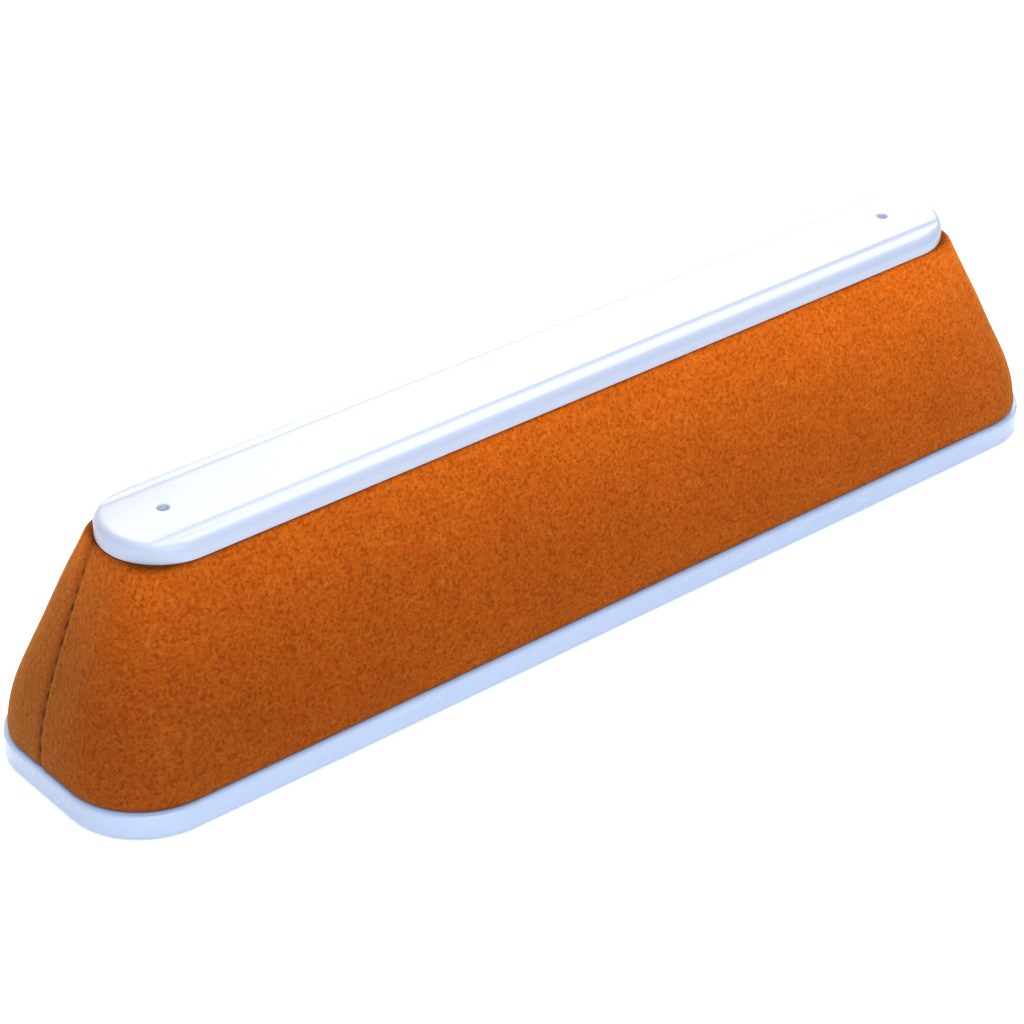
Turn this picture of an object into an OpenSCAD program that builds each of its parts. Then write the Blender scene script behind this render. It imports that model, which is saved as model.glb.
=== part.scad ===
// Long chalkboard eraser: a padded, cloth-covered wooden block between a narrow grip plate
// on top and a wide base plate that carries the felt wiping pad.
// Millimetres. X runs along the eraser, Z is up, and the origin is the centre of the
// wiping pad's underside, where the eraser rests on the board or the table.

/* [Base plate] */
// Length of the base plate, the longest piece
base_l = 300; // [260:1:360]
// Width of the base plate
base_w = 63; // [58:1:80]
// Thickness of the base plate
base_t = 6; // [5:0.5:8]
// Corner radius of the base plate seen from above
base_corner_r = 20; // [16:1:21]
// Rounding of the base plate's upper and lower edges
base_edge_r = 0.8; // [0.4:0.1:1.2]

/* [Grip plate] */
// Length of the grip plate
grip_l = 258; // [220:1:258]
// Width of the grip plate, whose ends are half circles
grip_w = 31; // [29:1:36]
// Thickness of the grip plate
grip_t = 5.5; // [5:0.5:7]
// Rounding of the grip plate's upper edge
grip_edge_r = 2; // [1:0.1:2.4]
// How much higher the grip plate's top is along its middle than along its long edges
grip_crown = 1.5; // [0.5:0.1:1.8]
// Distance between the two finger grooves
groove_spacing = 21.8; // [18:0.2:23]
// Width of a finger groove
groove_w = 2.8; // [1.8:0.1:3.2]
// Depth of a finger groove
groove_depth = 0.3; // [0.2:0.05:0.6]
// Distance from each end of the grip plate to the pin that holds it
pin_inset = 15.7; // [12:0.1:30]

/* [Body] */
// Height of the whole eraser, from the pad's underside to the top of the grip
total_h = 62.8; // [56:0.2:70]
// Gap between the edge of the base plate and the widest part of the cloth
foot_inset = 0.5; // [0.3:0.1:2]
// Corner radius of the cloth at its foot
foot_corner_r = 20.5; // [20:0.5:24]
// Corner radius of the cloth under the grip plate
top_corner_r = 9.3; // [8:0.1:13]
// Part of the body's height at which the upright foot turns into the slope
knee = 0.16; // [0.1:0.01:0.4]
// Softness of that turn, as a part of the body's height
knee_softness = 0.145; // [0.08:0.005:0.3]
// Thickness of the cloth
cloth_t = 1.2; // [0.8:0.1:1.6]
// Thickness of the foam at the foot of the body
foam_foot_t = 9; // [7:0.5:11]
// Thickness of the foam at the top of the body
foam_top_t = 4; // [3:0.5:5]

/* [Wiping pad] */
// Thickness of the felt pad
pad_t = 2.8; // [2:0.1:3.2]
// How far the pad stands out below the base plate
pad_proud = 0.7; // [0.4:0.1:1.2]
// Width of the base plate's rim around the pad
rim_w = 2; // [1.6:0.1:4]
// Thickness of the adhesive film that holds the pad
film_t = 0.2; // [0.1:0.05:0.3]

/* [Hidden] */
$fn = 64;

// Heights of the layers above the table
base_bottom = pad_proud;
base_top = base_bottom + base_t;
pocket_roof = pad_t + film_t;
grip_bottom = total_h - grip_t;
body_h = grip_bottom - base_top;

// Outline of the cloth at its foot and under the grip plate
top_inset = 0.3;
foot_half = [base_l / 2 - foot_inset, base_w / 2 - foot_inset];
top_half = [grip_l / 2 - top_inset, grip_w / 2 - top_inset];
foot_roll_r = 2;
top_roll_r = 1.2;

// Wooden core: half sizes of its foot and of its top, and its heights between the laps
core_foot = [foot_half[0] - cloth_t - foam_foot_t, foot_half[1] - cloth_t - foam_foot_t];
core_top = [top_half[0] - cloth_t - foam_top_t, top_half[1] - cloth_t - foam_top_t];
core_z0 = base_top + cloth_t;
core_z1 = grip_bottom - cloth_t;
// How far the cloth is turned in over the core, and half sizes of the bare land between the laps
top_lap = 5;
foot_lap = 8;
lap_corner_r = 2;
land_top = [core_top[0] - top_lap, core_top[1] - top_lap];
land_foot = [core_foot[0] - foot_lap, core_foot[1] - foot_lap];

grip_under_r = 0.5;
crown_r = (pow(grip_w / 2, 2) + pow(grip_crown, 2)) / (2 * grip_crown);
crown_facets = 360;
groove_r = (pow(groove_w / 2, 2) + pow(groove_depth, 2)) / (2 * groove_depth);
groove_floor = total_h - crown_r + sqrt(pow(crown_r, 2) - pow(groove_spacing / 2, 2)) - groove_depth;

// Outlines of the felt pad and of its adhesive film, measured in from the base plate's edge
pad_slack = 0.2;
pad_edge = rim_w + pad_slack;
film_edge = pad_edge + 1;

// Fasteners
pin_head_r = 1.3;
pin_head_h = 0.9;
pin_shank_r = 0.8;
pin_l = 20;
pin_sunk = 2.2;
pin_hole_r = 1.4;
pin_slack = 0.05;
screw_head_r = 3.5;
screw_head_h = 2.2;
screw_shank_r = 1.75;
screw_l = 22;
screw_hole_r = 2;
screw_row = 7;
screw_end_gap = 16;
screw_columns = [for (side = [-1:1]) side * (land_foot[0] - screw_end_gap)];
recess_w = 0.9;
recess_l = 3.6;
recess_depth = 1.2;
staple_crown = 10;
staple_leg = 8;
staple_wire = 0.5;
staple_band = 1.2;
staple_end_gap = 16;
top_staple_columns = spread(6, core_top[0] - staple_end_gap);
foot_staple_columns = spread(7, core_foot[0] - staple_end_gap);
foot_end_staple_y = 0.4 * core_foot[1];

// Seam at the left end: a slanting row of stitches, with their places as parts of the height
seam_stitches = 11;
seam_start = 0.08;
seam_run = 0.84;
stitch_run = 0.05;
seam_foot_y = 2;
seam_top_y = 5.4;
seam_bow = 1.5;
thread_r = 0.3;

ring_steps = 8;
flank_steps = 12;
roll_steps = 4;

// ---- outlines and profiles ----

// A number of places spread evenly from -reach to reach
function spread(count, reach) = [for (i = [0:count - 1]) reach * (2 * i / (count - 1) - 1)];

// Height of a soft-cornered ramp that starts to rise at the knee
function soft_ramp(t) = (t - knee + sqrt(pow(t - knee, 2) + pow(knee_softness, 2))) / 2;

// Share of the way from the foot's outline to the top's outline, at a part t of the height
function flank(t) = (soft_ramp(t) - soft_ramp(0)) / (soft_ramp(1) - soft_ramp(0));

// How far an edge rounded to radius r draws in, at a distance d from the edge's plane
function roll_in(d, r) = d < r ? r - sqrt(r * r - pow(r - d, 2)) : 0;

// Half length, half width, corner radius and height of the body's outline, drawn in by inset
function body_section(h, inset) =
    let (
        f = flank(h / body_h),
        drawn_in = inset + roll_in(h, foot_roll_r) + roll_in(body_h - h, top_roll_r),
        half = foot_half + f * (top_half - foot_half)
    )
    [
        half[0] - drawn_in,
        half[1] - drawn_in,
        foot_corner_r + f * (top_corner_r - foot_corner_r) - drawn_in,
        base_top + h
    ];

// Points of a rounded rectangle, counter-clockwise seen from above
function ring(s) = [
    for (quarter = [0:3], step = [0:ring_steps])
        let (
            a = 90 * (quarter + step / ring_steps),
            side_x = (quarter == 0 || quarter == 3) ? 1 : -1,
            side_y = quarter < 2 ? 1 : -1
        )
        [side_x * (s[0] - s[2]) + s[2] * cos(a), side_y * (s[1] - s[2]) + s[2] * sin(a), s[3]]
];
ring_points = 4 * (ring_steps + 1);

// Two triangles between neighbouring points of the rings numbered low and high
function band(low, high) = [
    for (i = [0:ring_points - 1])
        let (
            j = (i + 1) % ring_points,
            a = low * ring_points,
            b = high * ring_points
        )
        each [[a + i, b + i, b + j], [a + i, b + j, a + j]]
];

// Heights above the base plate at which the body's outline is taken, close together in the rolls
body_heights = [
    for (i = [0:roll_steps]) foot_roll_r * (1 - cos(90 * i / roll_steps)),
    for (i = [1:flank_steps]) foot_roll_r + (body_h - foot_roll_r - top_roll_r) * i / flank_steps,
    for (i = [1:roll_steps]) body_h - top_roll_r * (1 - sin(90 * i / roll_steps))
];

// Sections of the cloth's inside, between its two turned-in laps
lining_heights = [for (i = [0:flank_steps]) cloth_t + (body_h - 2 * cloth_t) * i / flank_steps];
lining = [for (h = lining_heights) body_section(h, cloth_t)];

// ---- shared solids ----

// Solid with the given outlines stacked from bottom to top
module stacked_block(sections) {
    last = len(sections) - 1;
    polyhedron(
        points = [for (s = sections) each ring(s)],
        faces = [
            [for (i = [0:ring_points - 1]) i],
            for (k = [0:last - 1]) each band(k, k + 1),
            [for (i = [ring_points - 1:-1:0]) last * ring_points + i]
        ]
    );
}

// Closed band whose cross-section runs through the given outlines and back to the first
module closed_band(sections) {
    count = len(sections);
    polyhedron(
        points = [for (s = sections) each ring(s)],
        faces = [for (k = [0:count - 1]) each band(k, (k + 1) % count)]
    );
}

// Half of a plate's cross-section, from x = 0 out to its rounded edge
module plate_section(reach, t, top_r, bottom_r) {
    translate([0, bottom_r]) square([reach, t - top_r - bottom_r]);
    square([reach - bottom_r, t / 2]);
    translate([0, t / 2]) square([reach - top_r, t / 2]);
    translate([reach - bottom_r, bottom_r]) circle(bottom_r);
    translate([reach - top_r, t - top_r]) circle(top_r);
}

// The part of that cross-section on the outer side of the corner's centre
module plate_rim(r, t, top_r, bottom_r) {
    intersection() {
        plate_section(r, t, top_r, bottom_r);
        square([r, t]);
    }
}

// Plate with rounded corners seen from above and rounded upper and lower edges
module rounded_plate(l, w, corner_r, t, top_r, bottom_r) {
    side_x = l / 2 - corner_r;
    side_y = w / 2 - corner_r;
    for (sx = [-1, 1], sy = [-1, 1])
        translate([sx * side_x, sy * side_y, 0])
            rotate_extrude() plate_rim(corner_r, t, top_r, bottom_r);
    for (turn = [0, 180]) {
        rotate([0, 0, turn]) translate([-side_x, -side_y, 0])
            rotate([90, 0, 90]) mirror([1, 0, 0])
                linear_extrude(2 * side_x) plate_rim(corner_r, t, top_r, bottom_r);
        if (side_y > 0)
            rotate([0, 0, turn]) translate([side_x, side_y, 0])
                rotate([90, 0, 0])
                    linear_extrude(2 * side_y) plate_rim(corner_r, t, top_r, bottom_r);
    }
    if (side_y > 0)
        translate([-side_x, -side_y, 0]) cube([2 * side_x, 2 * side_y, t]);
}

// Flat sheet with rounded corners
module rounded_sheet(l, w, corner_r, t) {
    linear_extrude(t) {
        square([l - 2 * corner_r, w], center = true);
        square([l, w - 2 * corner_r], center = true);
        for (sx = [-1, 1], sy = [-1, 1])
            translate([sx * (l / 2 - corner_r), sy * (w / 2 - corner_r)]) circle(corner_r);
    }
}

// ---- fastener shapes, each standing at its own place ----

module pin_places() {
    for (side = [-1, 1])
        translate([side * (grip_l / 2 - pin_inset), 0, total_h - pin_sunk]) children();
}

module pin_shape() {
    point_l = 2.4;
    rotate_extrude()
        polygon([
            [0, 0], [pin_head_r, 0], [pin_head_r, -pin_head_h], [pin_shank_r, -pin_head_h],
            [pin_shank_r, -pin_l + point_l], [0, -pin_l]
        ]);
}

module screw_places() {
    for (x = screw_columns, y = [-screw_row, screw_row])
        translate([x, y, pocket_roof]) children();
}

module screw_shape() {
    tip_l = 4;
    rotate_extrude()
        polygon([
            [0, 0], [screw_head_r, 0], [screw_shank_r, screw_head_h],
            [screw_shank_r, screw_l - tip_l], [0, screw_l]
        ]);
}

// Staple with its crown along X and its legs downwards from z = 0
module staple_shape() {
    rotate([90, 0, 0]) translate([0, 0, -staple_band / 2])
        linear_extrude(staple_band)
            difference() {
                translate([-staple_crown / 2, -staple_leg]) square([staple_crown, staple_leg]);
                translate([-staple_crown / 2 + staple_wire, -staple_leg])
                    square([staple_crown - 2 * staple_wire, staple_leg - staple_wire]);
            }
}

module top_staple_places() {
    for (x = top_staple_columns, side = [-1, 1])
        translate([x, side * (core_top[1] - top_lap / 2), grip_bottom]) children();
    for (side = [-1, 1])
        translate([side * (core_top[0] - top_lap / 2), 0, grip_bottom])
            rotate([0, 0, 90]) children();
}

module foot_staple_places() {
    for (x = foot_staple_columns, side = [-1, 1])
        translate([x, side * (core_foot[1] - foot_lap / 2), base_top])
            mirror([0, 0, 1]) children();
    for (side = [-1, 1], y = [-foot_end_staple_y, foot_end_staple_y])
        translate([side * (core_foot[0] - foot_lap / 2), y, base_top])
            mirror([0, 0, 1]) rotate([0, 0, 90]) children();
}

// ---- wooden core ----

// Upright four-sided outline of the core, seen along its length or from the front
module core_taper(axis) {
    polygon([
        [-core_foot[axis], core_z0], [core_foot[axis], core_z0],
        [core_top[axis], core_z1], [-core_top[axis], core_z1]
    ]);
}

// The tapered block lies between the laps, and a flat land fills the middle of each lap
module core_wood() {
    intersection() {
        rotate([90, 0, 90]) translate([0, 0, -core_foot[0]])
            linear_extrude(2 * core_foot[0]) core_taper(1);
        rotate([90, 0, 0]) translate([0, 0, -core_foot[1]])
            linear_extrude(2 * core_foot[1]) core_taper(0);
    }
    translate([-land_foot[0], -land_foot[1], base_top])
        cube([2 * land_foot[0], 2 * land_foot[1], 2 * cloth_t]);
    translate([-land_top[0], -land_top[1], grip_bottom - 2 * cloth_t])
        cube([2 * land_top[0], 2 * land_top[1], 2 * cloth_t]);
}

module core_block() {
    color("burlywood")
        difference() {
            core_wood();
            pin_places() pin_shape();
            screw_places() screw_shape();
            top_staple_places() staple_shape();
            foot_staple_places() staple_shape();
        }
}

// ---- foam padding, one cut piece on each face of the core ----

// Everything beyond one long face of the core, front for side = -1 and back for side = 1
module beyond_long_face(side) {
    rotate([90, 0, 90]) translate([0, 0, -base_l / 2])
        linear_extrude(base_l)
            polygon([
                [side * core_foot[1], core_z0], [side * base_w, core_z0],
                [side * base_w, core_z1], [side * core_top[1], core_z1]
            ]);
}

// Everything beyond one end face of the core
module beyond_end_face(side) {
    rotate([90, 0, 0]) translate([0, 0, -base_w / 2])
        linear_extrude(base_w)
            polygon([
                [side * core_foot[0], core_z0], [side * base_l, core_z0],
                [side * base_l, core_z1], [side * core_top[0], core_z1]
            ]);
}

module foam_long(side) {
    color("khaki")
        intersection() {
            stacked_block(lining);
            beyond_long_face(side);
        }
}

module foam_end(side) {
    color("khaki")
        difference() {
            intersection() {
                stacked_block(lining);
                beyond_end_face(side);
            }
            beyond_long_face(-1);
            beyond_long_face(1);
        }
}

// ---- cloth ----

// Outline of the hole that the turned-in cloth leaves round a land of the core
function lap_edge(land, z) = [land[0], land[1], lap_corner_r, z];

module cloth_cover() {
    laps_top = [lap_edge(land_top, grip_bottom), lap_edge(land_top, core_z1)];
    laps_foot = [lap_edge(land_foot, core_z0), lap_edge(land_foot, base_top)];
    color("chocolate")
        difference() {
            closed_band(concat(
                [for (h = body_heights) body_section(h, 0)],
                laps_top,
                [for (i = [len(lining) - 1:-1:0]) lining[i]],
                laps_foot
            ));
            top_staple_places() staple_shape();
            foot_staple_places() staple_shape();
            stitches();
        }
}

// Point of the seam on the cloth's left end, at a part t of the height
function seam_point(t) = [
    -body_section(t * body_h, 0)[0],
    seam_foot_y + t * (seam_top_y - seam_foot_y) + seam_bow * sin(180 * t),
    base_top + t * body_h
];

module rod_between(a, b, r) {
    d = b - a;
    translate(a)
        rotate([0, acos(d[2] / norm(d)), atan2(d[1], d[0])])
            cylinder(h = norm(d), r = r);
}

// The stitches lie half sunk in the cloth
module stitches() {
    for (i = [0:seam_stitches - 1]) {
        start = seam_start + seam_run * i / seam_stitches;
        rod_between(seam_point(start), seam_point(start + stitch_run), thread_r);
    }
}

module seam_thread() {
    color("saddlebrown") stitches();
}

// ---- fasteners ----

module grip_pins() {
    color("dimgray") pin_places() pin_shape();
}

module top_staples() {
    color("silver") top_staple_places() staple_shape();
}

module bottom_staples() {
    color("silver") foot_staple_places() staple_shape();
}

module base_screws() {
    color("gainsboro")
        screw_places()
            difference() {
                screw_shape();
                for (turn = [0, 90])
                    rotate([0, 0, turn]) translate([-recess_l / 2, -recess_w / 2, -1])
                        cube([recess_l, recess_w, recess_depth + 1]);
            }
}

// ---- plates ----

// Cross-section of the grip plate: a crowned top with rounded edges on a flat underside
module grip_section() {
    offset(r = grip_edge_r) offset(delta = -grip_edge_r)
        intersection() {
            translate([-grip_w / 2, 0]) square([grip_w, grip_t]);
            translate([0, grip_t - crown_r]) circle(crown_r, $fn = crown_facets);
        }
    translate([-grip_w / 2 - 1, 0]) square([grip_w + 2, grip_edge_r]);
}

module grip_plate() {
    color("white")
        difference() {
            intersection() {
                translate([0, 0, grip_bottom])
                    rounded_plate(grip_l, grip_w, grip_w / 2, grip_t, grip_edge_r, grip_under_r);
                translate([-grip_l / 2 - 1, 0, grip_bottom])
                    rotate([90, 0, 90]) linear_extrude(grip_l + 2) grip_section();
            }
            for (side = [-1, 1])
                translate([0, side * groove_spacing / 2, groove_floor + groove_r])
                    rotate([0, 90, 0]) cylinder(h = grip_l + 2, r = groove_r, center = true);
            pin_places() {
                translate([0, 0, -pin_head_h]) cylinder(h = pin_sunk + pin_head_h + 1, r = pin_hole_r);
                translate([0, 0, -pin_l]) cylinder(h = pin_l, r = pin_shank_r + pin_slack);
            }
        }
}

module base_plate() {
    color("white")
        difference() {
            translate([0, 0, base_bottom])
                rounded_plate(base_l, base_w, base_corner_r, base_t, base_edge_r, base_edge_r);
            rounded_sheet(base_l - 2 * rim_w, base_w - 2 * rim_w, base_corner_r - rim_w, pocket_roof);
            screw_places() {
                screw_shape();
                cylinder(h = base_t, r = screw_hole_r);
            }
        }
}

// ---- wiping pad ----

module pad_adhesive() {
    color("lightyellow")
        translate([0, 0, pad_t])
            rounded_sheet(base_l - 2 * film_edge, base_w - 2 * film_edge, base_corner_r - film_edge, film_t);
}

module wiping_pad() {
    color("gray")
        rounded_sheet(base_l - 2 * pad_edge, base_w - 2 * pad_edge, base_corner_r - pad_edge, pad_t);
}

grip_plate();
grip_pins();
core_block();
foam_long(-1);  // foam_front
foam_long(1);  // foam_back
foam_end(-1);  // foam_left_end
foam_end(1);  // foam_right_end
cloth_cover();
seam_thread();
top_staples();
bottom_staples();
base_plate();
base_screws();
pad_adhesive();
wiping_pad();
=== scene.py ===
"""Looks of a long chalkboard eraser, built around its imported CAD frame.

The eraser lies along X and rests on its felt pad at z = 0. A cloth-covered, foam-padded block
stands between a narrow grip plate with two finger grooves and a wide base plate that holds the
pad. Every length is in metres, and MM turns a millimetre figure into metres.
"""

import logging
import math
from dataclasses import dataclass
from enum import Enum
from typing import Sequence

import bpy
import numpy as np
from mathutils import Matrix, Vector


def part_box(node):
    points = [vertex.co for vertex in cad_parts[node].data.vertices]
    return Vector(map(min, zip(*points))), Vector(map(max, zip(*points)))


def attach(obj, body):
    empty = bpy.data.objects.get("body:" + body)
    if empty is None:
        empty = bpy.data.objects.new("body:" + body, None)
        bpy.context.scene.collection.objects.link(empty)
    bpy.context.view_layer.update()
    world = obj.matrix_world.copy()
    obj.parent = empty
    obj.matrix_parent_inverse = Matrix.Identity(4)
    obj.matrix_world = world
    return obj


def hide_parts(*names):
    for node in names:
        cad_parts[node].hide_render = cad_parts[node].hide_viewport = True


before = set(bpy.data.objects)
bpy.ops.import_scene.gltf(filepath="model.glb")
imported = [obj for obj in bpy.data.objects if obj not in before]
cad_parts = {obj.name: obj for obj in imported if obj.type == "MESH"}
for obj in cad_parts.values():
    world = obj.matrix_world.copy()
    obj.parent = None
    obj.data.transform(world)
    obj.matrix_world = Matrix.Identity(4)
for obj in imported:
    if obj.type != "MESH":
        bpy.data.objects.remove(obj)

Array = np.ndarray
Colour = tuple[float, float, float]
Object = bpy.types.Object
Material = bpy.types.Material
Socket = bpy.types.NodeSocket

MM = 0.001
SEED = 20417
TINY = 1e-9
log = logging.getLogger("eraser")


# ---- shared shapes ----


class Node(str, Enum):
    """Names of the CAD nodes."""

    GRIP_PLATE = "grip_plate"
    GRIP_PINS = "grip_pins"
    CORE = "core_block"
    FOAM_FRONT = "foam_front"
    FOAM_BACK = "foam_back"
    FOAM_LEFT = "foam_left_end"
    FOAM_RIGHT = "foam_right_end"
    CLOTH = "cloth_cover"
    THREAD = "seam_thread"
    TOP_STAPLES = "top_staples"
    BOTTOM_STAPLES = "bottom_staples"
    BASE_PLATE = "base_plate"
    SCREWS = "base_screws"
    ADHESIVE = "pad_adhesive"
    PAD = "wiping_pad"


class Slot(str, Enum):
    """Names of the record's material slots."""

    GRIP_PLASTIC = "white_plastic"
    BASE_PLASTIC = "base_plastic"
    CLOTH = "orange_cloth"
    THREAD = "thread"
    FOAM = "foam"
    FELT = "grey_felt"


@dataclass(frozen=True)
class NodeBox:
    """Box of a CAD node at rest."""

    low: Vector
    high: Vector

    @classmethod
    def of(cls, node: Node) -> "NodeBox":
        """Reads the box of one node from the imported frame."""
        low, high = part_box(node.value)
        return cls(low, high)

    @property
    def half(self) -> Array:
        """Half length and half width."""
        return np.array([self.high.x - self.low.x, self.high.y - self.low.y]) / 2


def smooth_step(t: Array) -> Array:
    """Soft rise from 0 to 1: three t squared less two t cubed, held at both ends."""
    t = np.clip(t, 0.0, 1.0)
    return t * t * (3.0 - 2.0 * t)


def roll_in(depth: Array, radius: float) -> Array:
    """How far an edge rounded to a radius draws in, at a depth below the edge's plane.

    Args:
        depth: distance from the plane in which the edge ends.
        radius: radius of the rounding.

    Returns:
        The radius less the root of its square minus the square of what is left of the depth.
    """
    left = np.clip(radius - depth, 0.0, radius)
    return radius - np.sqrt(radius * radius - left * left)


def grid_quads(rows: int, columns: int, wrap_rows: bool, wrap_columns: bool) -> Array:
    """Corner numbers of the quads of a grid, which face outwards when columns run
    counter-clockwise seen from above and rows run upwards.

    Args:
        rows: number of rows of points.
        columns: number of points in each row.
        wrap_rows: whether the last row joins the first.
        wrap_columns: whether each row's last point joins its first.

    Returns:
        An array with four point numbers for each quad.
    """
    row = np.arange(rows if wrap_rows else rows - 1)[:, None]
    column = np.arange(columns if wrap_columns else columns - 1)[None, :]
    next_row = (row + 1) % rows
    next_column = (column + 1) % columns
    corners = [
        row * columns + column,
        row * columns + next_column,
        next_row * columns + next_column,
        next_row * columns + column,
    ]
    return np.stack(corners, axis=-1).reshape(-1, 4)


def ladder_quads(ring: Array, faces_up: bool) -> Array:
    """Closes a flat ring with quads from each point to the one mirrored across the ring.

    Args:
        ring: an even number of point numbers, in which point k mirrors point n - 1 - k.
        faces_up: whether the quads of a counter-clockwise ring face up or down.

    Returns:
        An array with four point numbers for each quad.
    """
    half = len(ring) // 2
    near, far = ring[:half], ring[::-1][:half]
    quads = np.stack([near[:-1], near[1:], far[1:], far[:-1]], axis=-1)
    return quads if faces_up else quads[:, ::-1]


def stack_faces(rings: Array) -> list[Array]:
    """Faces of a stack of rings, closed below and above with ladders of quads.

    Args:
        rings: points in rows, one ring per row, with the lowest ring first.

    Returns:
        The side's quads, the lower cap's and the upper cap's.
    """
    rows, columns = rings.shape[:2]
    number = np.arange(rows * columns).reshape(rows, columns)
    return [
        grid_quads(rows, columns, False, True),
        ladder_quads(number[0], False),
        ladder_quads(number[-1], True),
    ]


def new_object(name: str, points: Array, faces: Sequence[Array], crease: float = 50.0) -> Object:
    """Makes a mesh object from points and from arrays of faces, smooth apart from its creases.

    Args:
        name: name of the object.
        points: positions in metres, one row each.
        faces: arrays of point numbers, all the faces of one array with the same corner count.
        crease: angle in degrees past which an edge is shaded sharp.

    Returns:
        The object, linked to the scene, with its place in its mesh.
    """
    mesh = bpy.data.meshes.new(name)
    points = np.ascontiguousarray(points.reshape(-1, 3), dtype=np.float32)
    corners = np.concatenate([group.ravel() for group in faces]).astype(np.int32)
    sizes = np.concatenate([np.full(len(group), group.shape[1]) for group in faces])
    starts = np.concatenate([[0], np.cumsum(sizes)[:-1]]).astype(np.int32)
    mesh.vertices.add(len(points))
    mesh.vertices.foreach_set("co", points.ravel())
    mesh.loops.add(len(corners))
    mesh.loops.foreach_set("vertex_index", corners)
    mesh.polygons.add(len(starts))
    mesh.polygons.foreach_set("loop_start", starts)
    mesh.update(calc_edges=True)
    mesh.validate()
    mesh.shade_smooth()
    mesh.set_sharp_from_angle(angle=math.radians(crease))
    made = bpy.data.objects.new(name, mesh)
    bpy.context.scene.collection.objects.link(made)
    return made


def store_mask(piece: Object, name: str, values: Array) -> None:
    """Keeps one number per point on a piece, for its material to read."""
    attribute = piece.data.attributes.new(name, "FLOAT", "POINT")
    attribute.data.foreach_set("value", np.ascontiguousarray(values.ravel(), dtype=np.float32))


def settle(piece: Object, slot: Slot, finish: Material, *replaced: Node) -> Object:
    """Gives a finished piece its material, lets it ride, and hides the nodes it stands for.

    Args:
        piece: the finished mesh object.
        slot: the record's slot that the piece takes its finish from; not used.
        finish: the material.
        replaced: CAD nodes that the piece stands for.

    Returns:
        The same piece.
    """
    piece.data.materials.append(finish)
    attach(piece, "root")
    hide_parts(*[node.value for node in replaced])
    log.info("%s: %d points", piece.name, len(piece.data.vertices))
    return piece


# ---- rounded-rectangle outlines ----

STATIONS = np.arange(10.0)
SLIDE_X = [1, 1, 1, -1, -1, -1, -1, 1, 1, 1]
SLIDE_Y = [0, 1, 1, 1, 1, -1, -1, -1, -1, 0]
FACING = [0, 0, 90, 90, 180, 180, 270, 270, 360, 360]


def outline_frame(stations: Array) -> tuple[Array, Array]:
    """Place and direction of points round a rounded rectangle, whatever its size.

    Stations run counter-clockwise from the middle of the +X side. Odd stretches are corners
    (1-2, 3-4, 5-6, 7-8), and the others are straight sides. A point lies at
    slide times (half size less radius), plus radius times facing.

    Args:
        stations: numbers from 0 to 9.

    Returns:
        The slide and the outward facing, two numbers each per station.
    """
    slide = np.stack(
        [np.interp(stations, STATIONS, SLIDE_X), np.interp(stations, STATIONS, SLIDE_Y)], axis=-1
    )
    angle = np.radians(np.interp(stations, STATIONS, FACING))
    return slide, np.stack([np.cos(angle), np.sin(angle)], axis=-1)


def even_stations(counts: Sequence[int]) -> Array:
    """Stations in the middles of equal parts of each of the nine stretches.

    Args:
        counts: number of points on each stretch, the same read from either end.

    Returns:
        The stations, in order, mirrored across the X axis.
    """
    parts = [start + (np.arange(n) + 0.5) / n for start, n in enumerate(counts)]
    return np.concatenate(parts)


def rounded_rings(stations: Array, half: Array, radius: Array, height: Array) -> Array:
    """Rounded rectangles of many sizes, one per row.

    Args:
        stations: places round the outline, the same for every row.
        half: half length and half width of each row.
        radius: corner radius of each row.
        height: z of each row.

    Returns:
        Points as an array of rows, columns and x, y, z.
    """
    slide, facing = outline_frame(stations)
    flat = slide * (half - radius[:, None])[:, None, :] + radius[:, None, None] * facing
    tall = np.broadcast_to(height[:, None, None], flat.shape[:2] + (1,))
    return np.concatenate([flat, tall], axis=-1)


# ---- materials ----


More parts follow.
